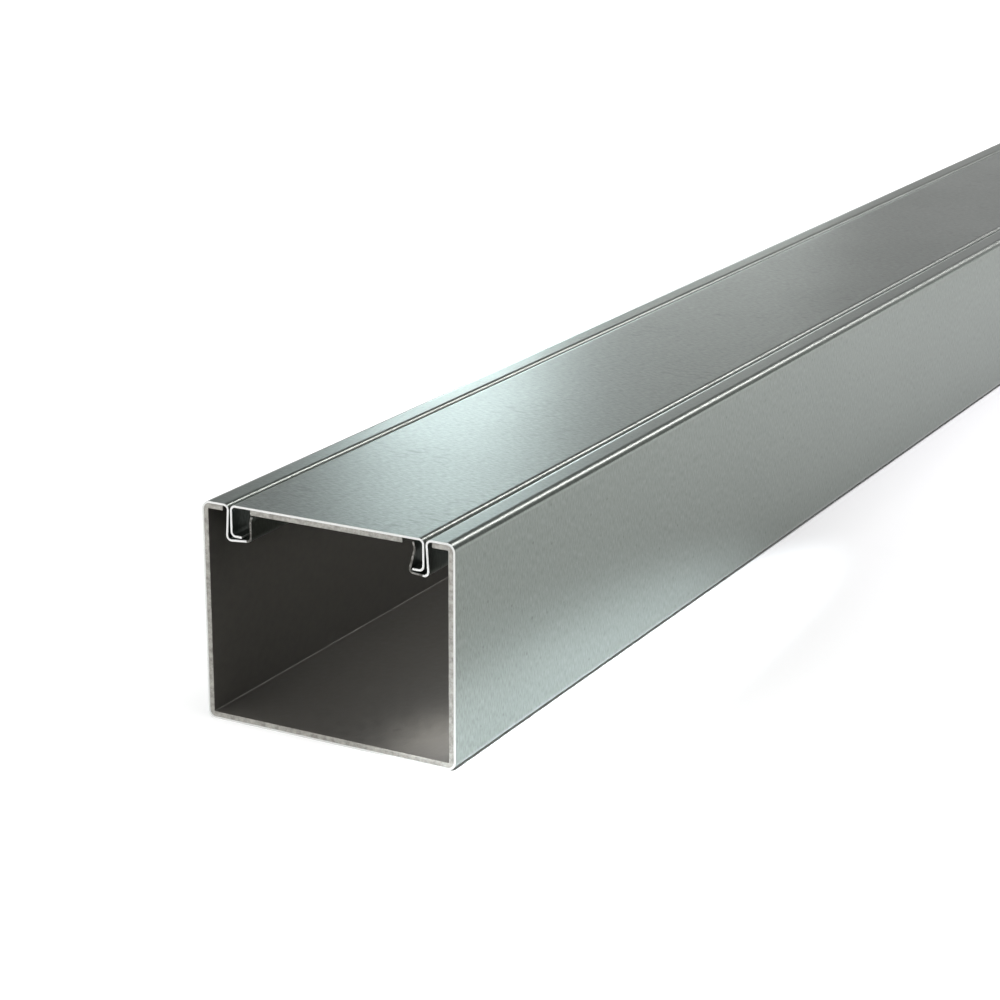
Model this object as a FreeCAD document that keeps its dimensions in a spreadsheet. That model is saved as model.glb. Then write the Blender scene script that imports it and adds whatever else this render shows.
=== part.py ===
"""Fire-rated cable duct: a lined sheet-steel channel with a lined clip-on lid.

Every piece runs the full length of the duct, so each one is a cross-section drawn in the XZ plane and
carried along Y. X runs across the duct, Z runs up from its underside, and the origin is the bottom centre.
Distances "in" are measured from the outer face of the nearer side wall. All lengths are millimetres.
"""
import FreeCAD, Part
import os
import Sketcher

DRIVING_SIZES = {
    "duct_length": 2000.0,
    "duct_width": 100.0,
    "duct_height": 80.0,
    "sheet_gauge": 0.8,
    "lining_gauge": 1.8,
    "corner_radius": 2.4,
    "clip_radius": 1.3,
    "rim_width": 11.3,
    "trough_depth": 12.55,
    "leg_slope": 0.064,
    "trough_slope": 0.095,
    "lid_gap": 0.35,
    "foot_length": 4.6,
    "seat_gap": 0.45,
    "hook_room": 3.28,
    "hook_flare_depth": 4.7,
    "hook_flare": 0.67,
    "lip_gap": 0.3,
    "click_room": 0.75,
    "click_fold_radius": 0.8,
    "click_grip": 1.4,
    "click_grip_depth": 4.0,
    "click_flare": 0.7,
    "click_tip_gap": 0.7,
    "lip_radius": 3.0,
    "rim_lining_margin": 0.55,
    "lid_lining_margin": 0.45,
}

# Levels above the underside.
TOP = "Sizes.duct_height"
SHEET_UNDERSIDE = f"({TOP} - Sizes.sheet_gauge)"
LINING_UNDERSIDE = f"({SHEET_UNDERSIDE} - Sizes.lining_gauge)"
TROUGH_AT_LEG = f"({TOP} - Sizes.trough_depth)"

# Distances in from the side face. The lid leg stands clear of the trough leg, and both lips keep their
# distance from the tip of the lid's foot.
RIM_EDGE = "Sizes.rim_width"
LEG_BOTTOM = f"({RIM_EDGE} - Sizes.trough_depth * Sizes.leg_slope)"
LID_SIDE = f"({RIM_EDGE} + Sizes.lid_gap)"
FOOT_TIP = f"({LID_SIDE} + Sizes.foot_length)"
HOOK_LIP = f"({FOOT_TIP} + Sizes.hook_room)"
CLICK_LIP = f"({FOOT_TIP} + Sizes.click_room)"
CLICK_BULGE = f"({FOOT_TIP} - Sizes.click_grip)"
RIM_LINING_EDGE = f"({RIM_EDGE} - Sizes.sheet_gauge - Sizes.clip_radius - Sizes.rim_lining_margin)"
LID_LINING_EDGE = f"({HOOK_LIP} + Sizes.lid_lining_margin)"
LINING_FACE = "(Sizes.sheet_gauge + Sizes.lining_gauge)"

# Radii on the drawn face of the sheet: the drawn face is the outside of some folds and the inside of others.
CORNER_OUTSIDE = "(Sizes.corner_radius + Sizes.sheet_gauge)"
CLIP_OUTSIDE = "(Sizes.clip_radius + Sizes.sheet_gauge)"
CLIP_INSIDE = "Sizes.clip_radius"
CLICK_FOLD = "Sizes.click_fold_radius"
LIP_OUTSIDE = "(Sizes.lip_radius + Sizes.sheet_gauge)"

LEFT = "-"
RIGHT = "+"
ROUGH_FOLD_RADIUS = 0.1
SECTION_PLANE = FreeCAD.Placement(
    FreeCAD.Vector(0, 0, 0), FreeCAD.Rotation(FreeCAD.Vector(1, 0, 0), 90)
)
ALONG_THE_DUCT = FreeCAD.Vector(0, 1, 0)


def across(side, distance_in):
    """Return the X expression of a point a distance in from the face of one side wall."""
    return f"{side}(Sizes.duct_width / 2 - {distance_in})"


def trough_level(distance_in):
    """Return the Z expression of the sloping trough floor at a distance in."""
    return f"({TROUGH_AT_LEG} + ({distance_in} - {LEG_BOTTOM}) * Sizes.trough_slope)"


FOOT_UNDERSIDE = f"({trough_level(FOOT_TIP)} + Sizes.seat_gap)"


def add_sizes(doc):
    """Write the driving sizes into a spreadsheet, one named cell each."""
    sheet = doc.addObject("Spreadsheet::Sheet", "Sizes")
    for row, (name, value) in enumerate(DRIVING_SIZES.items(), start=1):
        sheet.set(f"A{row}", name)
        sheet.set(f"B{row}", str(value))
        sheet.setAlias(f"B{row}", name)
    doc.recompute()


def bind(sketch, kind, name, expression, *elements):
    """Add one dimension to a sketch and bind it to an expression of the driving sizes."""
    start_value = 1.0
    index = sketch.addConstraint(Sketcher.Constraint(kind, *elements, start_value))
    sketch.renameConstraint(index, name)
    sketch.setExpression(f"Constraints.{name}", expression)


def draw_line(doc, sketch, corners, closed=False):
    """Draw a chain of straight lines through corners and round the corners that have a radius.

    Each corner is (X expression, Z expression, radius expression or None). Every corner is held by its
    two distances from the origin, so the lines may start anywhere before the first recompute.
    """
    count = len(corners)
    start_points = [FreeCAD.Vector(step, step * step, 0) for step in range(count)]
    ends = start_points[1:] + start_points[:1] if closed else start_points[1:]
    for start, end in zip(start_points, ends):
        sketch.addGeometry(Part.LineSegment(start, end))
    last_line = len(ends) - 1
    for line in range(last_line):
        sketch.addConstraint(Sketcher.Constraint("Coincident", line, 2, line + 1, 1))
    if closed:
        sketch.addConstraint(Sketcher.Constraint("Coincident", last_line, 2, 0, 1))
    for number, (x, z, _) in enumerate(corners):
        vertex = (number, 1) if number <= last_line else (last_line, 2)
        bind(sketch, "DistanceX", f"corner_{number}_x", x, -1, 1, *vertex)
        bind(sketch, "DistanceY", f"corner_{number}_z", z, -1, 1, *vertex)
    doc.recompute()
    for number, (_, _, radius) in enumerate(corners):
        if radius:
            arc = sketch.GeometryCount
            line_before = (number - 1) % count
            sketch.fillet(line_before, 2, ROUGH_FOLD_RADIUS, True, True)
            bind(sketch, "Radius", f"fold_{number}_radius", radius, arc)
            doc.recompute()


def add_folded_sheet(doc, label, corners):
    """Make a folded sheet: its drawn face thickened by the gauge and carried along the duct.

    The corners run so that the sheet lies to the left of the drawn line, seen from the front end.
    """
    sketch = doc.addObject("Sketcher::SketchObject", f"{label}_face")
    sketch.Placement = SECTION_PLANE
    draw_line(doc, sketch, corners)
    section = doc.addObject("Part::Offset2D", f"{label}_section")
    section.Source = sketch
    section.Mode = "Skin"
    section.Join = "Arc"
    section.Fill = True
    section.setExpression("Value", "Sizes.sheet_gauge")
    solid = doc.addObject("Part::Extrusion", label)
    solid.Base = section
    solid.DirMode = "Custom"
    solid.Dir = ALONG_THE_DUCT
    solid.Solid = True
    solid.Symmetric = True
    solid.setExpression("LengthFwd", "Sizes.duct_length")
    doc.recompute()
    return solid


def add_section_sketch(doc, body, name, corners):
    """Add a closed sketch in the section plane to a body."""
    sketch = doc.addObject("Sketcher::SketchObject", name)
    body.addObject(sketch)
    sketch.Placement = SECTION_PLANE
    draw_line(doc, sketch, corners, closed=True)
    return sketch


def rectangle(left, right, bottom, top, radius=None):
    """Return the corners of a rectangle, counter-clockwise from the bottom left."""
    return [
        (left, bottom, radius),
        (right, bottom, radius),
        (right, top, radius),
        (left, top, radius),
    ]


def add_channel(doc):
    """Make the channel, drawn on its outer face from the hook lip round to the click lip."""
    hook_lip = [
        (f"{HOOK_LIP} + Sizes.hook_flare", f"{LINING_UNDERSIDE} - Sizes.lip_gap", None),
        (HOOK_LIP, f"{TOP} - Sizes.hook_flare_depth", LIP_OUTSIDE),
        (HOOK_LIP, trough_level(HOOK_LIP), CLIP_INSIDE),
    ]
    click_lip = [
        (CLICK_LIP, trough_level(CLICK_LIP), CLICK_FOLD),
        (CLICK_BULGE, f"{TOP} - Sizes.click_grip_depth", LIP_OUTSIDE),
        (f"{CLICK_BULGE} + Sizes.click_flare", f"{SHEET_UNDERSIDE} - Sizes.click_tip_gap", None),
    ]
    trough_to_floor = [
        (LEG_BOTTOM, TROUGH_AT_LEG, CLIP_INSIDE),
        (RIM_EDGE, TOP, CLIP_OUTSIDE),
        ("0", TOP, CORNER_OUTSIDE),
        ("0", "0", CORNER_OUTSIDE),
    ]
    left = [(across(LEFT, f"({inward})"), level, radius) for inward, level, radius in hook_lip + trough_to_floor]
    right = [
        (across(RIGHT, f"({inward})"), level, radius)
        for inward, level, radius in trough_to_floor[::-1] + click_lip
    ]
    return add_folded_sheet(doc, "duct_channel", left + right)


def add_lid(doc):
    """Make the lid, drawn on its outer face from the right-hand foot tip to the left-hand one."""
    half = [
        (FOOT_TIP, FOOT_UNDERSIDE, None),
        (LID_SIDE, FOOT_UNDERSIDE, CLIP_OUTSIDE),
        (LID_SIDE, TOP, CLIP_OUTSIDE),
    ]
    right = [(across(RIGHT, inward), level, radius) for inward, level, radius in half]
    left = [(across(LEFT, inward), level, radius) for inward, level, radius in half[::-1]]
    return add_folded_sheet(doc, "duct_lid", right + left)


def add_channel_lining(doc):
    """Make the lining of the channel: a tube that fills the steel, hollowed and slotted along its top."""
    body = doc.addObject("PartDesign::Body", "channel_lining")
    outline = rectangle(
        across(LEFT, "Sizes.sheet_gauge"),
        across(RIGHT, "Sizes.sheet_gauge"),
        "Sizes.sheet_gauge",
        SHEET_UNDERSIDE,
        "Sizes.corner_radius",
    )
    hollow = rectangle(
        across(LEFT, LINING_FACE), across(RIGHT, LINING_FACE), LINING_FACE, LINING_UNDERSIDE
    )
    slot = rectangle(
        across(LEFT, RIM_LINING_EDGE), across(RIGHT, RIM_LINING_EDGE), LINING_FACE, TOP
    )
    pad = doc.addObject("PartDesign::Pad", "lining_block")
    pad.Profile = add_section_sketch(doc, body, "lining_outline", outline)
    body.addObject(pad)
    pad.SideType = "Symmetric"
    pad.setExpression("Length", "Sizes.duct_length")
    for name, corners in (("cable_space", hollow), ("lid_slot", slot)):
        pocket = doc.addObject("PartDesign::Pocket", name)
        pocket.Profile = add_section_sketch(doc, body, f"{name}_outline", corners)
        body.addObject(pocket)
        pocket.SideType = "Symmetric"
        pocket.setExpression("Length", "Sizes.duct_length")
    doc.recompute()
    return body


def add_lid_lining(doc):
    """Make the lining strip bonded under the lid."""
    strip = doc.addObject("Part::Box", "lid_lining")
    strip.setExpression("Length", f"Sizes.duct_width - 2 * {LID_LINING_EDGE}")
    strip.setExpression("Width", "Sizes.duct_length")
    strip.setExpression("Height", "Sizes.lining_gauge")
    strip.setExpression("Placement.Base.x", across(LEFT, LID_LINING_EDGE))
    strip.setExpression("Placement.Base.y", "-Sizes.duct_length / 2")
    strip.setExpression("Placement.Base.z", LINING_UNDERSIDE)
    doc.recompute()
    return strip


def check(doc, pieces):
    """Stop unless every object computed cleanly and every piece is one valid solid."""
    for item in doc.Objects:
        if "Invalid" in item.State or "Error" in item.State:
            raise RuntimeError(f"{item.Label} did not compute: {item.State}")
    for piece in pieces:
        shape = piece.Shape
        if shape.isNull() or not shape.isValid() or len(shape.Solids) != 1:
            raise RuntimeError(f"{piece.Label} is not one valid solid")


def main():
    """Build the pieces, check them and write one file for each."""
    doc = FreeCAD.newDocument("fire_rated_cable_duct")
    add_sizes(doc)
    pieces = [add_channel(doc), add_channel_lining(doc), add_lid(doc), add_lid_lining(doc)]
    doc.recompute()
    check(doc, pieces)
    os.makedirs("parts", exist_ok=True)
    for piece in pieces:
        piece.Shape.exportStep(f"parts/{piece.Label}.step")


main()
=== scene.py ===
"""Dresses the fire-rated cable duct: a galvanised channel and lid, both lined with fire-protection board.

Every piece is a cross-section in the XZ plane carried along Y, in metres, in the part's own frame: X runs
across the duct, Y along it away from the end that faces the viewer, Z up from the underside.
"""
import logging
import math
from dataclasses import dataclass
from enum import Enum
from typing import ClassVar

import bpy
import numpy as np
from mathutils import Matrix, Vector


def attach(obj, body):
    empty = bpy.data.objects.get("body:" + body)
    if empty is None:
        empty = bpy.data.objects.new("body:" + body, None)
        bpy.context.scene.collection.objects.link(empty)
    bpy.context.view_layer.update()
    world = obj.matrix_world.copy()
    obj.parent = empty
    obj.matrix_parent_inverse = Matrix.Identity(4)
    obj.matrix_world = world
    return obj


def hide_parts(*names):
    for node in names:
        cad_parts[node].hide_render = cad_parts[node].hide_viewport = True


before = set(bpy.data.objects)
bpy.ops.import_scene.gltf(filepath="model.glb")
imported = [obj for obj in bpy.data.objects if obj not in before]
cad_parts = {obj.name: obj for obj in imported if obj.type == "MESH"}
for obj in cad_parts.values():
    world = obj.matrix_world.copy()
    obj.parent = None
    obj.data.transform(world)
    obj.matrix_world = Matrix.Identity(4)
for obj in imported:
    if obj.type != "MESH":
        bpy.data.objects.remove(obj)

Pair = tuple[float, float]
Point = tuple[float, float, float]

LOG = logging.getLogger("cable_duct")
MM = 0.001
IMAGE_PIXELS = 1000
UNROLLED = "unrolled_place"
# Faces that meet at more than this angle keep a sharp edge between them.
SHARP_ANGLE_DEG = 30.0
# Unit normals that differ by more than this belong to a bend.
BEND_TOLERANCE = 1e-6
# The renderer's watts for each unit of radiance and square metre of a rectangular lamp.
WATTS_PER_RADIANCE = 4.0
# Sockets of a colour Mix node: the share of the second colour, the two colours and the mixed colour.
MIX_SHARE, MIX_FIRST, MIX_SECOND, MIX_RESULT = 0, 6, 7, 2
# Values between which a cloudy pattern moves the gloss of a surface.
GLOSS_RANGE: Pair = (0.3, 0.7)
WHOLE: Pair = (0.0, 1.0)


class Side(Enum):
    """The two long sides of the duct, as the sign of X."""

    HOOK = -1
    CLICK = 1


class Surface(Enum):
    """What a face of a piece is."""

    FACE = 0
    CUT = 1
    # The lining's inside corners, drawn paler as a painted highlight.
    CREASE_HIGHLIGHT = 2
    # A cut drawn darker as painted shade, for the lips that sit in shade inside the troughs.
    PAINTED_SHADE_CUT = 3


@dataclass(frozen=True)
class DuctSizes:
    """Sizes of the section, in millimetres. A distance "in" starts at the outer face of the nearer wall.

    The values are those of the solid model, so that a dressed piece lies where its solid lies.
    """

    length: float = 2000.0
    width: float = 100.0
    height: float = 80.0
    sheet: float = 0.8
    lining: float = 1.8
    corner_radius: float = 2.4
    clip_radius: float = 1.3
    rim_width: float = 11.3
    trough_depth: float = 12.55
    leg_slope: float = 0.064
    trough_slope: float = 0.095
    lid_gap: float = 0.35
    foot_length: float = 4.6
    seat_gap: float = 0.45
    hook_room: float = 3.28
    hook_flare_depth: float = 4.7
    hook_flare: float = 0.67
    lip_gap: float = 0.3
    click_room: float = 0.75
    click_fold_radius: float = 0.8
    click_grip: float = 1.4
    click_grip_depth: float = 4.0
    click_flare: float = 0.7
    click_tip_gap: float = 0.7
    lip_radius: float = 3.0
    rim_lining_margin: float = 0.55
    lid_lining_margin: float = 0.45

    @property
    def sheet_underside(self) -> float:
        """Level of the underside of the lid and rims."""
        return self.height - self.sheet

    @property
    def lining_underside(self) -> float:
        """Level of the underside of the lining under the lid and rims."""
        return self.sheet_underside - self.lining

    @property
    def leg_bottom(self) -> float:
        """Distance in of the leg where it meets the trough floor."""
        return self.rim_width - self.trough_depth * self.leg_slope

    @property
    def lid_side(self) -> float:
        """Distance in of the outer face of the lid's leg."""
        return self.rim_width + self.lid_gap

    @property
    def foot_tip(self) -> float:
        """Distance in of the tip of the lid's foot."""
        return self.lid_side + self.foot_length

    @property
    def hook_lip(self) -> float:
        """Distance in of the upright lip on the hook side."""
        return self.foot_tip + self.hook_room

    @property
    def click_lip(self) -> float:
        """Distance in of the bottom of the leaning lip on the click side."""
        return self.foot_tip + self.click_room

    @property
    def click_bulge(self) -> float:
        """Distance in of the point of the click lip that traps the lid's foot."""
        return self.foot_tip - self.click_grip

    @property
    def rim_lining_edge(self) -> float:
        """Distance in of the free edge of the lining under a rim."""
        return self.rim_width - self.sheet - self.clip_radius - self.rim_lining_margin

    @property
    def lid_lining_edge(self) -> float:
        """Distance in of the edges of the lining under the lid."""
        return self.hook_lip + self.lid_lining_margin

    @property
    def foot_underside(self) -> float:
        """Level of the underside of the lid's feet."""
        return self.trough_level(self.foot_tip) + self.seat_gap

    def trough_level(self, distance_in: float) -> float:
        """Return the level of the sloping trough floor at a distance in."""
        rise = (distance_in - self.leg_bottom) * self.trough_slope
        return self.height - self.trough_depth + rise


def linear(hex_colour: str) -> tuple[float, float, float, float]:
    """Turn an sRGB hex colour into linear red, green, blue and full alpha, by the sRGB curve.

    Args:
        hex_colour: six hex digits after a hash sign.

    Returns:
        The four numbers that a colour socket takes.
    """
    srgb = np.array([int(hex_colour[start:start + 2], 16) for start in (1, 3, 5)]) / 255.0
    value = np.where(srgb <= 0.04045, srgb / 12.92, ((srgb + 0.055) / 1.055) ** 2.4)
    return (*value.tolist(), 1.0)


def link_object(name: str, data: bpy.types.ID) -> bpy.types.Object:
    """Make an object of a mesh, a light or a camera, and link it to the scene."""
    made = bpy.data.objects.new(name, data)
    bpy.context.scene.collection.objects.link(made)
    return made


def add_node(
    tree: bpy.types.NodeTree, kind: str, inputs: dict | None = None, **settings: object
) -> bpy.types.Node:
    """Add a node with its settings, socket values and links.

    Args:
        tree: the node tree that gets the node.
        kind: Blender's name of the node type.
        inputs: socket name or number to a value, or to (node, output) for a link.
        settings: properties of the node, such as operation.

    Returns:
        The new node.
    """
    node = tree.nodes.new(kind)
    for name, value in settings.items():
        setattr(node, name, value)
    for socket, value in (inputs or {}).items():
        if isinstance(value, tuple) and isinstance(value[0], bpy.types.Node):
            tree.links.new(value[0].outputs[value[1]], node.inputs[socket])
        else:
            node.inputs[socket].default_value = value
    return node


def add_clouds(
    tree: bpy.types.NodeTree,
    place: tuple[bpy.types.Node, str],
    size_mm: Pair | Point,
    layers: float,
    layer_weight: float,
) -> bpy.types.Node:
    """Add a cloudy pattern with a size of its own along each axis.

    Args:
        tree: the node tree.
        place: node and output that give the place of a point, in metres.
        size_mm: size of the clouds along each axis. Two sizes make a flat pattern and three a solid one.
        layers: number of finer layers laid over the first.
        layer_weight: weight of each layer against the one before it.

    Returns:
        The noise node.
    """
    scale = [1.0 / (size * MM) for size in size_mm]
    stretched = add_node(tree, "ShaderNodeMapping", {"Vector": place, "Scale": (*scale, 1.0)[:3]})
    return add_node(
        tree,
        "ShaderNodeTexNoise",
        {"Vector": (stretched, 0), "Scale": 1.0, "Detail": layers, "Roughness": layer_weight},
        noise_dimensions=f"{len(size_mm)}D",
    )


def new_material(name: str) -> tuple[bpy.types.Material, bpy.types.NodeTree]:
    """Make an empty node material, and return it with its node tree."""
    material = bpy.data.materials.new(name)
    material.use_nodes = True
    material.node_tree.nodes.clear()
    return material, material.node_tree


@dataclass(frozen=True)
class GalvanisedSheet:
    """Hot-dip galvanised steel sheet, skin-passed to a fine satin.

    The zinc skin gives a cool grey-green metal with soft reflections, a fine broken grain across the sheet,
    slow cloudy changes of gloss and a few dark specks. A handled sheet has clusters of short dull scuffs.

    Attributes:
        name: name of the material.
        zinc, grain_dark, scuff, speck: colours of the zinc, of its grain's dips, the scuffs and the specks.
        roughness, roughness_spread: middle of the roughness, and how far the clouds move it.
        grain_mm, scuff_mm, cluster_mm, cloud_mm: size of each pattern across the sheet and along it.
        grain_range, scuff_range, cluster_range: values of each pattern between which it comes in.
        grain_height_mm, grain_relief: height of the grain, and strength of its relief.
        scuff_strength: how much the scuffs show in a cluster.
        loose_share: share of that strength that the scuffs have outside the clusters.
        speck_spacing_mm: distance between places for a speck.
        speck_range: radii of the core and the edge of a speck, as shares of that distance.
        speck_strength: how much the darkest speck shows.
        layers, layer_weight: finer layers of the patterns, and their weight.
    """

    name: str = "galvanised_sheet_skin_passed"
    zinc: str = "#828983"
    grain_dark: str = "#6E746F"
    scuff: str = "#545A55"
    speck: str = "#545A55"
    roughness: float = 0.30
    roughness_spread: float = 0.012
    # The real grain is finer than a tenth of a millimetre, so it is drawn coarser to show in a picture.
    grain_mm: Pair = (2.6, 0.5)
    grain_range: Pair = (0.32, 0.68)
    grain_height_mm: float = 0.004
    grain_relief: float = 0.3
    scuff_mm: Pair = (9.0, 2.4)
    scuff_range: Pair = (0.54, 0.74)
    scuff_strength: float = 0.0
    loose_share: float = 0.22
    cluster_mm: Pair = (42.0, 42.0)
    cluster_range: Pair = (0.54, 0.68)
    cloud_mm: Pair = (60.0, 60.0)
    speck_spacing_mm: float = 15.0
    speck_range: Pair = (0.012, 0.05)
    speck_strength: float = 0.8
    layers: float = 3.0
    layer_weight: float = 0.6

    def build(self) -> bpy.types.Material:
        """Make the material.

        Returns:
            The material, patterned on the place of each point on the unrolled sheet.
        """
        material, tree = new_material(self.name)
        unrolled = add_node(tree, "ShaderNodeAttribute", attribute_name=UNROLLED)
        place = (unrolled, "Vector")
        grain, scuffs, clusters, cloud = [
            add_clouds(tree, place, size_mm, self.layers, self.layer_weight)
            for size_mm in (self.grain_mm, self.scuff_mm, self.cluster_mm, self.cloud_mm)
        ]
        specks = add_node(
            tree,
            "ShaderNodeTexVoronoi",
            {"Vector": place, "Scale": 1.0 / (self.speck_spacing_mm * MM)},
            voronoi_dimensions="2D",
        )
        clustering = (self.loose_share * self.scuff_strength, self.scuff_strength)
        roughness = (self.roughness - self.roughness_spread, self.roughness + self.roughness_spread)
        grained, scuffed, clustered, specked, gloss = [
            add_node(
                tree,
                "ShaderNodeMapRange",
                {"Value": (source, 0), "From Min": low, "From Max": high, "To Min": start, "To Max": end},
            )
            for source, (low, high), (start, end) in (
                (grain, self.grain_range, WHOLE),
                (scuffs, self.scuff_range, WHOLE),
                (clusters, self.cluster_range, clustering),
                (specks, self.speck_range, (self.speck_strength, 0.0)),
                (cloud, GLOSS_RANGE, roughness),
            )
        ]
        scuffed, specked = [
            add_node(tree, "ShaderNodeMath", {0: (share, 0), 1: thinned}, operation="MULTIPLY")
            for share, thinned in ((scuffed, (clustered, 0)), (specked, (specks, "Color")))
        ]
        tone = linear(self.zinc)
        for share, colour in ((grained, self.grain_dark), (scuffed, self.scuff), (specked, self.speck)):
            mixed = add_node(
                tree,
                "ShaderNodeMix",
                {MIX_SHARE: (share, 0), MIX_FIRST: tone, MIX_SECOND: linear(colour)},
                data_type="RGBA",
            )
            tone = (mixed, MIX_RESULT)
        bump = add_node(
            tree,
            "ShaderNodeBump",
            {"Height": (grain, 0), "Strength": self.grain_relief, "Distance": self.grain_height_mm * MM},
        )
        shader = add_node(
            tree,
            "ShaderNodeBsdfPrincipled",
            {"Base Color": tone, "Metallic": 1.0, "Roughness": (gloss, 0), "Normal": (bump, 0)},
        )
        add_node(tree, "ShaderNodeOutputMaterial", {"Surface": (shader, 0)})
        return material


@dataclass(frozen=True)
class MottledFinish:
    """A finish whose colour runs between two tones in a cloudy pattern that is fixed to the piece.

    Attributes:
        name: name of the material.
        tones: colours where the pattern is low and where it is high.
        mottle_mm: size of the pattern across, along and up the duct.
        layers: number of finer layers in the pattern.
        roughness: roughness of the surface, or the middle of it.
        layer_weight: weight of each layer against the one before it.
        blend: values of the pattern between which the tones blend.
        metallic: 1 for bare metal and 0 for anything else.
        roughness_spread: how far the pattern moves the roughness up and down.
        relief: strength of the pattern's relief.
        relief_mm: height of the pattern's relief.
    """

    name: str
    tones: tuple[str, str]
    mottle_mm: Point
    layers: float
    roughness: float
    layer_weight: float = 0.5
    blend: Pair = WHOLE
    metallic: float = 0.0
    roughness_spread: float = 0.0
    relief: float = 0.0
    relief_mm: float = 0.0

    def build(self) -> bpy.types.Material:
        """Make the material.

        Returns:
            The material, patterned on Object coordinates.
        """
        material, tree = new_material(self.name)
        place = add_node(tree, "ShaderNodeTexCoord")
        mottle = add_clouds(tree, (place, "Object"), self.mottle_mm, self.layers, self.layer_weight)
        share = add_node(
            tree,
            "ShaderNodeMapRange",
            {"Value": (mottle, 0), "From Min": self.blend[0], "From Max": self.blend[1]},
        )
        first, second = self.tones
        tone = add_node(
            tree,
            "ShaderNodeMix",
            {MIX_SHARE: (share, 0), MIX_FIRST: linear(first), MIX_SECOND: linear(second)},
            data_type="RGBA",
        )
        look = {"Base Color": (tone, MIX_RESULT), "Metallic": self.metallic, "Roughness": self.roughness}
        if self.roughness_spread:
            gloss = add_node(
                tree,
                "ShaderNodeMapRange",
                {
                    "Value": (mottle, 0),
                    "From Min": GLOSS_RANGE[0],
                    "From Max": GLOSS_RANGE[1],
                    "To Min": self.roughness - self.roughness_spread,
                    "To Max": self.roughness + self.roughness_spread,
                },
            )
            look["Roughness"] = (gloss, 0)
        if self.relief:
            bump = add_node(
                tree,
                "ShaderNodeBump",
                {"Height": (mottle, 0), "Strength": self.relief, "Distance": self.relief_mm * MM},
            )
            look["Normal"] = (bump, 0)
        shader = add_node(tree, "ShaderNodeBsdfPrincipled", look)
        add_node(tree, "ShaderNodeOutputMaterial", {"Surface": (shader, 0)})
        return material


@dataclass(frozen=True)
class ShearedSteel(MottledFinish):
    """Bare steel where the sheet was sheared: bright, nearly white, with faint shear marks."""

    name: str = "sheared_steel_edge"
    tones: tuple[str, str] = ("#E0E1DF", "#CFD0CE")
    mottle_mm: Point = (0.5, 0.5, 0.5)
    layers: float = 2.0
    roughness: float = 0.55
    metallic: float = 1.0


@dataclass(frozen=True)
class LipCutPaintedShade(MottledFinish):
    """Cut edge of the clip lips, drawn a darker grey than the other cuts as painted shade for the shade
    inside the troughs: a neutral mid-grey metal, paler in cloudy patches.
    """

    name: str = "lip_cut_edge_painted_shade"
    tones: tuple[str, str] = ("#585753", "#969591")
    mottle_mm: Point = (1.2, 1.2, 1.2)
    layers: float = 3.0
    roughness: float = 0.5
    blend: Pair = (0.45, 0.7)
    metallic: float = 1.0


@dataclass(frozen=True)
class LiningFace(MottledFinish):
    """Coated face of the fire-protection lining: a dark brown-grey satin with a fine mottle."""

    name: str = "coated_fire_lining_face"
    tones: tuple[str, str] = ("#3E3C38", "#474540")
    mottle_mm: Point = (2.4, 3.6, 2.4)
    layers: float = 4.0
    roughness: float = 0.42
    blend: Pair = (0.35, 0.65)
    roughness_spread: float = 0.06
    relief: float = 0.3
    relief_mm: float = 0.2


@dataclass(frozen=True)
class LiningCreaseHighlight(MottledFinish):
    """The coat along the lining's inside corners, drawn paler than the face as a painted highlight: a fine
    pale line where light catches the folds.
    """

    name: str = "fire_lining_crease_painted_highlight"
    tones: tuple[str, str] = ("#6B6862", "#4A4742")
    mottle_mm: Point = (12.0, 12.0, 12.0)
    layers: float = 4.0
    roughness: float = 0.5


@dataclass(frozen=True)
class LiningCore(MottledFinish):
    """Sawn edge of the lining: a pale grey, speckled mineral core."""

    name: str = "sawn_fire_lining_core"
    tones: tuple[str, str] = ("#B1AFA8", "#84827C")
    mottle_mm: Point = (1.8, 1.8, 1.8)
    layers: float = 5.0
    roughness: float = 0.85
    layer_weight: float = 0.7
    blend: Pair = (0.35, 0.65)
    relief: float = 0.5
    relief_mm: float = 0.15


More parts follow.
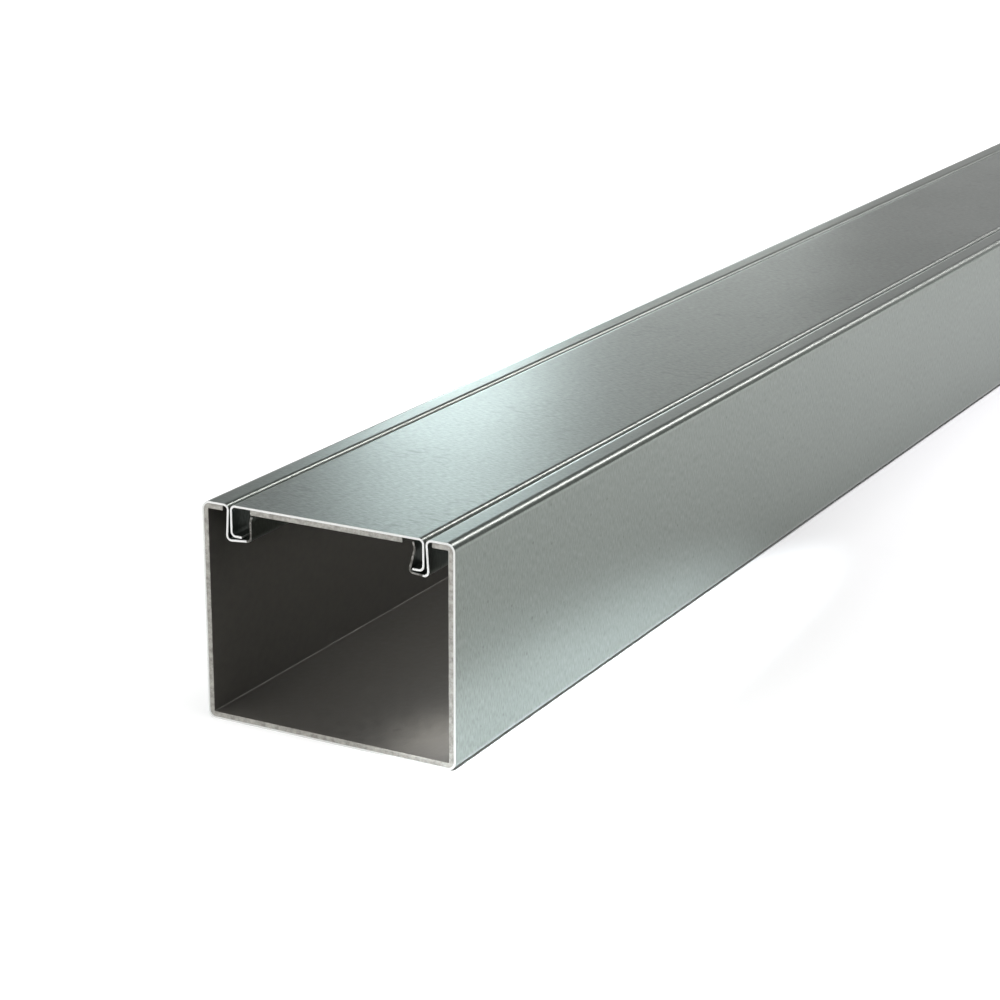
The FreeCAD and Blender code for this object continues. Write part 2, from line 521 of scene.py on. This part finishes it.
def folded_line(
    corners: np.ndarray, radii: np.ndarray, steps: int, shoulder: float
) -> tuple[np.ndarray, np.ndarray]:
    """Round the corners of an open line.

    A corner with unit directions u before it and v after it turns through the angle a between them. Its
    arc starts r tan(|a| / 2) before the corner, and the vector from the arc's centre to its start turns
    through a in equal steps. One more point lies a shoulder before the arc and one a shoulder after it,
    which keeps the smooth shading of the arc off the flat beside it.

    Args:
        corners: N by 2 corner points, with the two ends of the line among them.
        radii: radius at each of the N - 2 inner corners.
        steps: points on each arc.
        shoulder: distance of the extra points from the arcs.

    Returns:
        The points of the line, and the unit normals on the left of the line at those points.
    """
    runs = np.diff(corners, axis=0)
    directions = runs / np.linalg.norm(runs, axis=1, keepdims=True)
    before, after = directions[:-1], directions[1:]
    cross = before[:, 0] * after[:, 1] - before[:, 1] * after[:, 0]
    turn = np.arctan2(cross, np.sum(before * after, axis=1))
    reach = (radii * np.tan(np.abs(turn) / 2))[:, None]
    starts = corners[1:-1] - before * reach
    ends = corners[1:-1] + after * reach
    left = np.stack([-directions[:, 1], directions[:, 0]], axis=1)
    centres = starts + left[:-1] * (np.sign(turn) * radii)[:, None]
    angles = turn[:, None] * np.linspace(0.0, 1.0, steps)[None, :]
    cosine, sine = np.cos(angles)[..., None], np.sin(angles)[..., None]

    def turned(vectors: np.ndarray) -> np.ndarray:
        """Return each vector turned through every angle of its arc."""
        quarter = np.stack([-vectors[:, 1], vectors[:, 0]], axis=1)
        return vectors[:, None, :] * cosine + quarter[:, None, :] * sine

    arcs = centres[:, None, :] + turned(starts - centres)
    normals = turned(left[:-1])
    lead_in = (starts - before * shoulder)[:, None, :]
    lead_out = (ends + after * shoulder)[:, None, :]
    points = np.concatenate([lead_in, arcs, lead_out], axis=1).reshape(-1, 2)
    facing = np.concatenate([normals[:, :1], normals, normals[:, -1:]], axis=1).reshape(-1, 2)
    points = np.concatenate([corners[:1], points, corners[-1:]])
    facing = np.concatenate([left[:1], facing, left[-1:]])
    return points, facing


@dataclass
class Section:
    """A strip-shaped cross-section between two lines with the same number of points, in metres.

    Attributes:
        near: N by 2 points of one face of the strip.
        far: N by 2 points of the other face.
        creased: for each of the N - 1 spans, whether the far face has a crease there, which gets a painted
            highlight.
        shade_painted: for each of the N - 1 spans, whether its cut is drawn darker as painted shade.
        wrapped: whether the coat of the faces wraps the two long edges.
    """

    near: np.ndarray
    far: np.ndarray
    creased: np.ndarray
    shade_painted: np.ndarray
    wrapped: bool = False

    def with_broken_edges(self, edge_break: float) -> "Section":
        """Chamfer the two long edges of the strip.

        The first and last point of each line draw back along the line by the edge break, and a new point on
        the edge face lies the same distance from the corner.

        Args:
            edge_break: width of the chamfer, in metres.

        Returns:
            The section with two more points on each line.
        """
        lines = []
        for line, other in ((self.near, self.far), (self.far, self.near)):
            edge = line[[0, -1]]
            along = line[[1, -2]] - edge
            through = other[[0, -1]] - edge
            along = along / np.linalg.norm(along, axis=1, keepdims=True)
            through = through / np.linalg.norm(through, axis=1, keepdims=True)
            drawn_back = edge + along * edge_break
            on_edge = edge + through * edge_break
            lines.append(
                np.concatenate([on_edge[:1], drawn_back[:1], line[1:-1], drawn_back[1:], on_edge[1:]])
            )
        shade_painted = np.pad(self.shade_painted, 1, mode="edge")
        return Section(*lines, np.pad(self.creased, 1), shade_painted, self.wrapped)


@dataclass
class LongPiece:
    """A cross-section of one thickness carried along the duct, with broken edges.

    The ring of the section runs along its near line and back along its far line. It is carried along Y
    through a row of stations, and at the two ends it draws in by the edge break, so that every edge has a
    small chamfer.

    Attributes:
        name: name of the piece.
        section: the cross-section.
        length: length along Y, in metres.
        edge_break: width of the chamfer, in metres.
        bays: number of bays between the end chamfers.
    """

    name: str
    section: Section
    length: float
    edge_break: float
    bays: int = 40

    def build(self) -> bpy.types.Object:
        """Make the mesh object.

        Returns:
            A closed mesh whose material numbers say what kind of surface each face is.
        """
        section = self.section.with_broken_edges(self.edge_break)
        thickness = np.linalg.norm(section.far - section.near, axis=1, keepdims=True)
        inward = (section.far - section.near) / thickness * self.edge_break
        ring = np.concatenate([section.near, section.far[::-1]])
        drawn_in = np.concatenate([section.near + inward, (section.far - inward)[::-1]])
        full_span = self.length / 2 - self.edge_break
        stations = np.concatenate(
            [[-self.length / 2], np.linspace(-full_span, full_span, self.bays + 1), [self.length / 2]]
        )
        sections = np.repeat(ring[None], len(stations), axis=0)
        sections[[0, -1]] = drawn_in
        points = np.empty((len(stations), len(ring), 3))
        points[..., 0] = sections[..., 0]
        points[..., 1] = stations[:, None]
        points[..., 2] = sections[..., 1]

        middle = (section.near + section.far) / 2
        run = np.concatenate([[0.0], np.cumsum(np.linalg.norm(np.diff(middle, axis=0), axis=1))])
        unrolled = np.zeros_like(points)
        unrolled[..., 0] = np.concatenate([run, run[::-1]])
        unrolled[..., 1] = stations[:, None]

        faces, surface = self.skin(section, len(stations))
        return self.to_object(points.reshape(-1, 3), unrolled.reshape(-1, 3), faces, surface)

    def skin(self, section: Section, station_count: int) -> tuple[np.ndarray, np.ndarray]:
        """Number the corners of every face and say what each face is.

        Face k of a bay joins points k and k + 1 of one ring to those of the next. Faces on the far line
        count its spans backwards. The two end faces are strips from the near line to the far line.

        Args:
            section: the section with broken edges.
            station_count: number of rings along the piece.

        Returns:
            Four vertex numbers for each face, and the kind of surface of each face.
        """
        half = len(section.near)
        count = 2 * half
        bay, step = np.meshgrid(np.arange(station_count - 1), np.arange(count), indexing="ij")
        following = (step + 1) % count
        this_ring, next_ring = bay * count, (bay + 1) * count
        walls = np.stack(
            [this_ring + step, this_ring + following, next_ring + following, next_ring + step], axis=-1
        ).reshape(-1, 4)
        across = np.arange(half - 1)
        front = np.stack([across, count - 1 - across, count - 2 - across, across + 1], axis=-1)
        back = front[:, ::-1] + (station_count - 1) * count

        span = np.clip(np.where(step < half, step, count - 2 - step), 0, half - 2)
        on_long_edge = (step <= 0) | (step >= count - 2) | ((step >= half - 2) & (step <= half))
        on_end = (bay == 0) | (bay == station_count - 2)
        is_cut = on_end if section.wrapped else on_end | on_long_edge
        # Cuts of the lips take the darker material, which is painted shade.
        cut_kind = np.where(section.shade_painted, Surface.PAINTED_SHADE_CUT.value, Surface.CUT.value)
        wall_kind = np.full(step.shape, Surface.FACE.value)
        # Creases of the coated face take the paler material, which is a painted highlight.
        wall_kind[section.creased[span] & (step >= half)] = Surface.CREASE_HIGHLIGHT.value
        wall_kind[is_cut] = cut_kind[span][is_cut]
        kinds = np.concatenate([wall_kind.reshape(-1), cut_kind, cut_kind]).astype(np.int32)
        return np.concatenate([walls, front, back]), kinds

    def to_object(
        self, points: np.ndarray, unrolled: np.ndarray, faces: np.ndarray, surface: np.ndarray
    ) -> bpy.types.Object:
        """Put the arrays into a mesh.

        Args:
            points: vertex positions.
            unrolled: place of each vertex on the unrolled sheet.
            faces: four vertex numbers for each face.
            surface: kind of surface of each face, kept as its material number.

        Returns:
            The object, linked to the scene.
        """
        mesh = bpy.data.meshes.new(self.name)
        mesh.from_pydata(points.tolist(), [], faces.tolist())
        mesh.polygons.foreach_set("material_index", surface)
        mesh.polygons.foreach_set("use_smooth", np.ones(len(faces), bool))
        mesh.set_sharp_from_angle(angle=math.radians(SHARP_ANGLE_DEG))
        place = mesh.attributes.new(UNROLLED, "FLOAT_VECTOR", "POINT")
        place.data.foreach_set("vector", unrolled.astype(np.float32).reshape(-1))
        mesh.update()
        return link_object(self.name, mesh)


@dataclass
class DuctPart:
    """One piece of the duct and what it stands for.

    Attributes:
        sizes: sizes of the duct.
        finishes: material of each kind of surface that the piece has.
        name: name of the piece.
        node: solid that the piece replaces.
        body: body that the piece rides on.
        slot: material slot of the solid.
        edge_break_mm: width of the chamfer on every edge.
        arc_steps: points on each bend.
        shoulder_mm: distance of the extra point beside each bend.
    """

    sizes: DuctSizes
    finishes: dict[Surface, bpy.types.Material]
    name: ClassVar[str]
    node: ClassVar[str]
    body: ClassVar[str]
    slot: ClassVar[str]
    edge_break_mm: float = 0.1
    arc_steps: int = 12
    shoulder_mm: float = 0.25

    def at(self, side: Side, distance_in: float, level: float) -> Pair:
        """Return the X and Z of a point, in millimetres, from its distance in and its level."""
        return side.value * (self.sizes.width / 2 - distance_in), level

    def line(self, corners: list[Pair], radii: list[float]) -> tuple[np.ndarray, np.ndarray]:
        """Round the corners of a line given in millimetres.

        Args:
            corners: corner points, in millimetres.
            radii: radius of each inner corner, in millimetres.

        Returns:
            Points in metres and unit normals.
        """
        points, facing = folded_line(
            np.array(corners), np.array(radii, float), self.arc_steps, self.shoulder_mm
        )
        return points * MM, facing

    def section(self) -> Section:
        """Return the cross-section of the piece."""
        raise NotImplementedError

    def build(self) -> bpy.types.Object:
        """Make the piece, dress it and hang it on its body.

        Returns:
            The finished piece.
        """
        length, edge_break = self.sizes.length * MM, self.edge_break_mm * MM
        piece = LongPiece(self.name, self.section(), length, edge_break).build()
        self.dress(piece)
        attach(piece, self.body)
        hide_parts(self.node)
        LOG.info("%s rides on %s with %d faces", piece.name, self.body, len(piece.data.polygons))
        return piece

    def dress(self, piece: bpy.types.Object) -> None:
        """Turn the kind of surface of each face into the slot of its material.

        Args:
            piece: the piece, whose material numbers are kinds of surface.
        """
        faces = piece.data.polygons
        kinds = np.empty(len(faces), np.int32)
        faces.foreach_get("material_index", kinds)
        slots = np.zeros(len(Surface), np.int32)
        for slot, (surface, material) in enumerate(self.finishes.items()):
            slots[surface.value] = slot
            piece.data.materials.append(material)
        faces.foreach_set("material_index", slots[kinds])


@dataclass
class SteelPart(DuctPart):
    """A piece folded from the galvanised sheet."""

    slot: ClassVar[str] = "galvanised_sheet"

    def sheet(self, corners: list[Pair], radii: list[float], shade_painted: tuple[int, int] = (0, 0)) -> Section:
        """Thicken a rounded line to its left by the sheet gauge.

        Args:
            corners: corner points of the drawn face, in millimetres.
            radii: radius of each inner corner on the drawn face.
            shade_painted: number of spans at the start and at the end of the line whose cut is drawn darker
                as painted shade.

        Returns:
            The section from the drawn face to the face behind it.
        """
        points, facing = self.line(corners, radii)
        span = np.arange(len(points) - 1)
        shade_painted_cut = (span < shade_painted[0]) | (span >= len(span) - shade_painted[1])
        behind = points + facing * self.sizes.sheet * MM
        return Section(points, behind, np.zeros(len(span), bool), shade_painted_cut)


@dataclass
class DuctChannel(SteelPart):
    """The channel: floor, walls, rims and the two clip troughs, folded from one sheet."""

    name: ClassVar[str] = "galvanised_channel"
    node: ClassVar[str] = "duct_channel"
    body: ClassVar[str] = "duct"

    def section(self) -> Section:
        """Draw the outer face from the hook lip round to the click lip.

        The cuts of both lips are drawn darker as painted shade: on the hook side up to the trough floor, on
        the click side together with it.

        Returns:
            The section of the channel.
        """
        s = self.sizes
        corner, clip, lip = s.corner_radius + s.sheet, s.clip_radius + s.sheet, s.lip_radius + s.sheet
        hook_tip = s.lining_underside - s.lip_gap
        click_tip = s.sheet_underside - s.click_tip_gap
        trough_level = s.height - s.trough_depth
        wall = [(s.leg_bottom, trough_level), (s.rim_width, s.height), (0.0, s.height), (0.0, 0.0)]
        wall_radii = [s.clip_radius, clip, corner, corner]
        hook = [
            (s.hook_lip + s.hook_flare, hook_tip),
            (s.hook_lip, s.height - s.hook_flare_depth),
            (s.hook_lip, s.trough_level(s.hook_lip)),
        ]
        click = [
            (s.click_lip, s.trough_level(s.click_lip)),
            (s.click_bulge, s.height - s.click_grip_depth),
            (s.click_bulge + s.click_flare, click_tip),
        ]
        corners = [self.at(Side.HOOK, *point) for point in hook + wall]
        corners += [self.at(Side.CLICK, *point) for point in wall[::-1] + click]
        radii = [lip, s.clip_radius, *wall_radii, *wall_radii[::-1], s.click_fold_radius, lip]
        two_folds = 2 * (self.arc_steps + 2)
        # The lips' cuts are marked for the darker painted shade.
        return self.sheet(corners, radii, shade_painted=(two_folds, two_folds + 1))


@dataclass
class DuctLid(SteelPart):
    """The lid: a flat cover with a leg and a foot along each side, folded from one sheet."""

    name: ClassVar[str] = "galvanised_lid"
    node: ClassVar[str] = "duct_lid"
    body: ClassVar[str] = "lid"

    def section(self) -> Section:
        """Draw the outer face from the click foot to the hook foot.

        Returns:
            The section of the lid.
        """
        s = self.sizes
        half = [(s.foot_tip, s.foot_underside), (s.lid_side, s.foot_underside), (s.lid_side, s.height)]
        corners = [self.at(Side.CLICK, *point) for point in half]
        corners += [self.at(Side.HOOK, *point) for point in half[::-1]]
        return self.sheet(corners, [s.clip_radius + s.sheet] * 4)


@dataclass
class LiningPart(DuctPart):
    """A piece of the fire-protection lining."""

    slot: ClassVar[str] = "fire_lining"
    edge_break_mm: float = 0.15


@dataclass
class ChannelLining(LiningPart):
    """The lining of the channel: under both rims, down both walls and over the floor in one piece."""

    name: ClassVar[str] = "channel_fire_lining"
    node: ClassVar[str] = "channel_lining"
    body: ClassVar[str] = "duct"
    inner_radius_mm: float = 0.35

    def section(self) -> Section:
        """Draw the glued face and the coated face, both from the hook rim round to the click rim.

        Returns:
            The section of the lining, creased where the coated face turns a corner.
        """
        s = self.sizes
        lines = []
        for depth, radius in ((s.sheet, s.corner_radius), (s.sheet + s.lining, self.inner_radius_mm)):
            half = [(s.rim_lining_edge, s.height - depth), (depth, s.height - depth), (depth, depth)]
            corners = [self.at(Side.HOOK, *point) for point in half]
            corners += [self.at(Side.CLICK, *point) for point in half[::-1]]
            lines.append(self.line(corners, [radius] * 4))
        (glued, _), (coated, facing) = lines
        creased = np.any(np.abs(np.diff(facing, axis=0)) > BEND_TOLERANCE, axis=1)
        return Section(glued, coated, creased, np.zeros(len(creased), bool), wrapped=True)


@dataclass
class LidLining(LiningPart):
    """The flat strip of lining glued under the lid."""

    name: ClassVar[str] = "lid_fire_lining"
    node: ClassVar[str] = "lid_lining"
    body: ClassVar[str] = "lid"

    def section(self) -> Section:
        """Draw the glued face and the coated face, both from the click edge to the hook edge.

        Returns:
            The section of the strip, which has no crease.
        """
        s = self.sizes
        reach = s.width / 2 - s.lid_lining_edge
        across = np.linspace(reach, -reach, self.arc_steps)
        glued = np.stack([across, np.full_like(across, s.sheet_underside)], axis=1)
        coated = np.stack([across, np.full_like(across, s.lining_underside)], axis=1)
        plain = np.zeros(len(across) - 1, bool)
        return Section(glued * MM, coated * MM, plain, plain, wrapped=True)


@dataclass(frozen=True)
class Viewpoint:
    """The camera, at the viewing angle and distance of the picture."""

    place: Point = (0.43694, -1.67731, 0.33878)
    turn_deg: float = 28.6705
    tilt_deg: float = 17.3453
    roll_deg: float = 0.1632
    focal_pixels: float = 2531.83
    sensor_mm: float = 36.0
    nearest: float = 0.05
    farthest: float = 100.0

    def build(self) -> bpy.types.Object:
        """Make the camera and make it the scene's camera.

        Returns:
            The camera object.
        """
        data = bpy.data.cameras.new("viewpoint")
        data.sensor_width = self.sensor_mm
        data.lens = self.focal_pixels * self.sensor_mm / IMAGE_PIXELS
        data.clip_start, data.clip_end = self.nearest, self.farthest
        camera = link_object("viewpoint", data)
        camera.matrix_world = (
            Matrix.Translation(self.place)
            @ Matrix.Rotation(math.radians(self.turn_deg), 4, "Z")
            @ Matrix.Rotation(math.radians(90.0 - self.tilt_deg), 4, "X")
            @ Matrix.Rotation(math.radians(self.roll_deg), 4, "Z")
        )
        bpy.context.scene.camera = camera
        return camera


@dataclass(frozen=True)
class Lamp:
    """A studio lamp that the camera doesn't see.

    Attributes:
        name: name of the lamp.
        place: where it stands.
        aim: point that it faces.
    """

    name: str
    place: Point
    aim: Point

    def put_up(self, data: bpy.types.Light, tint: str) -> bpy.types.Object:
        """Colour a light, put it in its place and turn it to its aim.

        Args:
            data: the light.
            tint: colour of its light.

        Returns:
            The lamp object.
        """
        data.color = linear(tint)[:3]
        lamp = link_object(self.name, data)
        lamp.location = self.place
        direction = Vector(self.aim) - Vector(self.place)
        lamp.rotation_euler = direction.to_track_quat("-Z", "Y").to_euler()
        lamp.visible_camera = False
        return lamp


@dataclass(frozen=True)
class Softbox(Lamp):
    """A rectangular lamp.

    Attributes:
        size: width and height, in metres.
        radiance: brightness of its face, where 1 is white.
        tint: colour of its light.
        spread_deg: angle that its grid leaves open.
    """

    size: Pair
    radiance: float
    tint: str = "#FFFFFF"
    spread_deg: float = 180.0

    def build(self) -> bpy.types.Object:
        """Make the lamp, with the power that gives its face its radiance.

        Returns:
            The lamp object.
        """
        data = bpy.data.lights.new(self.name, "AREA")
        data.shape = "RECTANGLE"
        data.size, data.size_y = self.size
        data.energy = WATTS_PER_RADIANCE * self.radiance * self.size[0] * self.size[1]
        data.spread = math.radians(self.spread_deg)
        return self.put_up(data, self.tint)


@dataclass(frozen=True)
class PoolLamp(Lamp):
    """A focused lamp with a soft oval beam. It brightens the floor beside the duct, which the wall mirrors.

    Attributes:
        cone_deg: full angle of the beam, across its short axis.
        stretch: how many times longer than tall the beam is.
        power: power in watts.
        tint: colour of its light.
        bulb_radius: radius of the bulb, in metres.
    """

    cone_deg: float
    stretch: float
    power: float
    tint: str
    bulb_radius: float = 0.01

    def build(self) -> bpy.types.Object:
        """Make the lamp, whose beam fades from its middle to its rim.

        Returns:
            The lamp object.
        """
        data = bpy.data.lights.new(self.name, "SPOT")
        data.spot_size = math.radians(self.cone_deg)
        data.spot_blend = 1.0
        data.shadow_soft_size = self.bulb_radius
        data.energy = self.power
        lamp = self.put_up(data, self.tint)
        lamp.scale = (self.stretch, 1.0, 1.0)
        return lamp


def stage_card(name: str, corners: np.ndarray, material: bpy.types.Material) -> bpy.types.Object:
    """Make a flat card of the stage.

    Args:
        name: name of the card.
        corners: its four corners, in order round it.
        material: its material.

    Returns:
        The card.
    """
    mesh = bpy.data.meshes.new(name)
    mesh.from_pydata(corners.tolist(), [], [(0, 1, 2, 3)])
    mesh.materials.append(material)
    card = link_object(name, mesh)
    return card


@dataclass(frozen=True)
class Flag:
    """A dark card of matt felt that only reflections show: the folds of the sheet mirror it as a dark line.

    Attributes:
        name: name of the card.
        place: middle of its lower edge.
        aim: point that it faces.
        size: width and height, in metres.
        felt: colour of the card.
    """

    name: str
    place: Point
    aim: Point
    size: Pair
    felt: str = "#2A2A2A"

    def build(self) -> bpy.types.Object:
        """Make the card, upright on its lower edge, which runs half its width to each side of its place.

        Returns:
            The card.
        """
        foot = np.array(self.place)
        facing = np.array(self.aim) - foot
        half = np.array([-facing[1], facing[0], 0.0]) / np.hypot(facing[0], facing[1]) * self.size[0] / 2
        up = np.array([0.0, 0.0, self.size[1]])
        corners = np.stack([foot - half, foot + half, foot + half + up, foot - half + up])
        material, tree = new_material("black_felt_card")
        shader = add_node(tree, "ShaderNodeBsdfDiffuse", {"Color": linear(self.felt), "Roughness": 1.0})
        add_node(tree, "ShaderNodeOutputMaterial", {"Surface": (shader, 0)})
        card = stage_card(self.name, corners, material)
        card.visible_camera = card.visible_diffuse = card.visible_shadow = False
        return card


@dataclass(frozen=True)
class Studio:
    """A pale floor, a soft surround, softboxes and a dark card.

    Attributes:
        sizes: sizes of the duct.
        floor_reach: distance from the middle of the floor to its sides, in metres.
        floor_colour: colour of the floor.
        floor_lift: glow that whitens the floor for the eye and for reflections.
        lift_start, lift_full: distance outside the duct's footprint where the glow starts and is full.
        horizon, overhead: brightness of the surround low down and high up.
        horizon_top, overhead_start: heights between which the surround fades, as sines of the elevation.
        softboxes, pools, flags: the lamps and cards.
    """

    sizes: DuctSizes
    floor_reach: float = 30.0
    floor_colour: str = "#EDEDED"
    floor_lift: float = 0.38
    lift_start: float = -0.0012
    lift_full: float = -0.0004
    horizon: float = 1.1
    overhead: float = 0.24
    horizon_top: float = 0.12
    overhead_start: float = 0.38
    softboxes: tuple[Softbox, ...] = (
        Softbox("overhead", (0.2, -0.3, 3.0), (0.0, -0.3, 0.0), (2.6, 2.6), 1.7),
        Softbox("key_front_left", (-2.0, -3.4, 1.4), (0.0, -0.95, 0.0), (3.9, 2.5), 2.45),
        Softbox("strip_back_left", (-1.53, 1.725, 0.60), (0.0, -0.87, 0.08), (0.28, 0.50), 6.1, "#E4F7FA"),
        Softbox("panel_back", (-1.46, 2.12, 0.25), (0.0, -0.8, 0.08), (0.77, 0.40), 3.0, "#F2FAF7"),
        Softbox("box_back_right", (0.42, 1.50, 1.62), (0.05, -0.85, 0.08), (0.32, 0.74), 13.5, "#FFFAFC"),
        Softbox("box_back_low", (0.42, 1.50, 0.94), (0.05, -0.85, 0.08), (0.28, 0.60), 2.2, "#FFFAFC"),
        Softbox("strip_low_right", (1.45, 1.31, 0.12), (0.05, -0.85, 0.12), (1.0, 0.22), 1.7),
        # The glow lamps lie inside the duct, whose lining would be nearly black without them.
        Softbox("glow_ceiling", (-0.015, 0.0, 0.0768), (-0.015, 0.0, 0.0), (0.03, 1.96), 2.0),
        Softbox("glow_right", (0.030, 0.0, 0.066), (0.030, 0.0, 0.0), (0.006, 1.96), 7.8),
        Softbox(
            "glow_corner", (0.036, -0.980, 0.030), (0.036, -0.980, 0.0), (0.016, 0.04), 4.1, spread_deg=95.0
        ),
        Softbox("glow_hook", (-0.0345, -0.987, 0.073), (-0.0345, -1.0, 0.073), (0.0075, 0.011), 0.11),
        Softbox("glow_click", (0.0362, -0.993, 0.073), (0.0362, -1.0, 0.073), (0.005, 0.011), 0.11),
        Softbox("glow_rim", (0.0435, -0.985, 0.0685), (0.0435, -1.0, 0.0685), (0.0075, 0.016), 0.08),
    )
    pools: tuple[PoolLamp, ...] = (
        PoolLamp("pool_right", (0.400, -0.9980, 1.15), (0.057, -0.985, 0.0), 4.0, 7.0, 121.0, "#EDF7FF"),
        PoolLamp("pool_far_right", (0.60, -0.20, 1.60), (0.27, -0.46, 0.0), 26.0, 1.4, 40.0, "#F6F2FF"),
    )
    flags: tuple[Flag, ...] = (
        Flag("flag_back_right", (1.41, 1.25, 0.26), (0.05, -0.85, 0.26), (0.9, 0.54)),
    )

    def build(self) -> None:
        """Make the floor, the surround, the lamps and the cards."""
        self.build_floor()
        self.build_surround()
        for stand in (*self.softboxes, *self.pools, *self.flags):
            stand.build()

    def build_floor(self) -> None:
        """Make the floor of matt white paper, a square at the level of the underside."""
        material, tree = new_material("matt_white_floor")
        paper = add_node(
            tree, "ShaderNodeBsdfDiffuse", {"Color": linear(self.floor_colour), "Roughness": 1.0}
        )
        rays = add_node(tree, "ShaderNodeLightPath")
        seen = (rays, "Is Camera Ray")
        for ray in ("Is Glossy Ray", "Is Transmission Ray"):
            seen = (add_node(tree, "ShaderNodeMath", {0: seen, 1: (rays, ray)}, operation="MAXIMUM"), 0)
        strength = add_node(
            tree, "ShaderNodeMath", {0: seen, 1: (self.add_lift(tree), "Result")}, operation="MULTIPLY"
        )
        lift = add_node(tree, "ShaderNodeEmission", {"Strength": (strength, 0)})
        shader = add_node(tree, "ShaderNodeAddShader", {0: (paper, 0), 1: (lift, 0)})
        add_node(tree, "ShaderNodeOutputMaterial", {"Surface": (shader, 0)})
        material.cycles.emission_sampling = "NONE"
        signs = np.array([[-1.0, -1.0, 0.0], [1.0, -1.0, 0.0], [1.0, 1.0, 0.0], [-1.0, 1.0, 0.0]])
        stage_card("floor", signs * self.floor_reach, material)

    def add_lift(self, tree: bpy.types.NodeTree) -> bpy.types.Node:
        """Add the lift of the floor, which stops under the bends of the duct's lower edges.

        The distance outside the footprint is the larger of |x| less half the width and |y| less half the
        length. It is less than nothing inside.

        Args:
            tree: node tree of the floor's material.

        Returns:
            The node that gives the strength.
        """
        place = add_node(tree, "ShaderNodeTexCoord")
        parts = add_node(tree, "ShaderNodeSeparateXYZ", {0: (place, "Object")})
        outside = []
        for axis, size in (("X", self.sizes.width), ("Y", self.sizes.length)):
            off_centre = add_node(tree, "ShaderNodeMath", {0: (parts, axis)}, operation="ABSOLUTE")
            beyond = add_node(
                tree, "ShaderNodeMath", {0: (off_centre, 0), 1: size * MM / 2}, operation="SUBTRACT"
            )
            outside.append((beyond, 0))
        distance = add_node(tree, "ShaderNodeMath", dict(enumerate(outside)), operation="MAXIMUM")
        return add_node(
            tree,
            "ShaderNodeMapRange",
            {
                "Value": (distance, 0),
                "From Min": self.lift_start,
                "From Max": self.lift_full,
                "To Max": self.floor_lift,
            },
            interpolation_type="SMOOTHSTEP",
        )

    def build_surround(self) -> None:
        """Make the surround: pale up to about 7 degrees above the horizon, and dark from about 22 up."""
        world = bpy.data.worlds.new("studio_surround")
        world.use_nodes = True
        tree = world.node_tree
        tree.nodes.clear()
        place = add_node(tree, "ShaderNodeTexCoord")
        parts = add_node(tree, "ShaderNodeSeparateXYZ", {"Vector": (place, "Generated")})
        level = add_node(
            tree,
            "ShaderNodeMapRange",
            {
                "Value": (parts, "Z"),
                "From Min": self.horizon_top,
                "From Max": self.overhead_start,
                "To Min": self.horizon,
                "To Max": self.overhead,
            },
            interpolation_type="SMOOTHSTEP",
        )
        light = add_node(tree, "ShaderNodeBackground", {"Strength": (level, "Result")})
        add_node(tree, "ShaderNodeOutputWorld", {"Surface": (light, 0)})
        bpy.context.scene.world = world


def main() -> None:
    """Build the duct's pieces, the studio and the camera."""
    logging.basicConfig(level=logging.INFO, format="%(name)s: %(message)s")
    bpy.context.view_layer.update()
    sizes = DuctSizes()
    handled_sheet = GalvanisedSheet(
        name="galvanised_sheet_handled", zinc="#898F8A", grain_dark="#646A65", scuff_strength=0.9
    )
    cut = ShearedSteel().build()
    channel_steel = {
        Surface.FACE: GalvanisedSheet().build(),
        Surface.CUT: cut,
        # The lips' cuts get painted shade: a darker grey than the other cuts.
        Surface.PAINTED_SHADE_CUT: LipCutPaintedShade().build(),
    }
    lid_steel = {Surface.FACE: handled_sheet.build(), Surface.CUT: cut}
    lining = {
        Surface.FACE: LiningFace().build(),
        Surface.CUT: LiningCore().build(),
        # The creases of the lining get a painted highlight.
        Surface.CREASE_HIGHLIGHT: LiningCreaseHighlight().build(),
    }
    for part in (
        DuctChannel(sizes, channel_steel),
        ChannelLining(sizes, lining),
        DuctLid(sizes, lid_steel),
        LidLining(sizes, lining),
    ):
        part.build()
    Studio(sizes).build()
    Viewpoint().build()
    bpy.context.scene.view_settings.view_transform = "Standard"


if __name__ == "__main__":
    main()
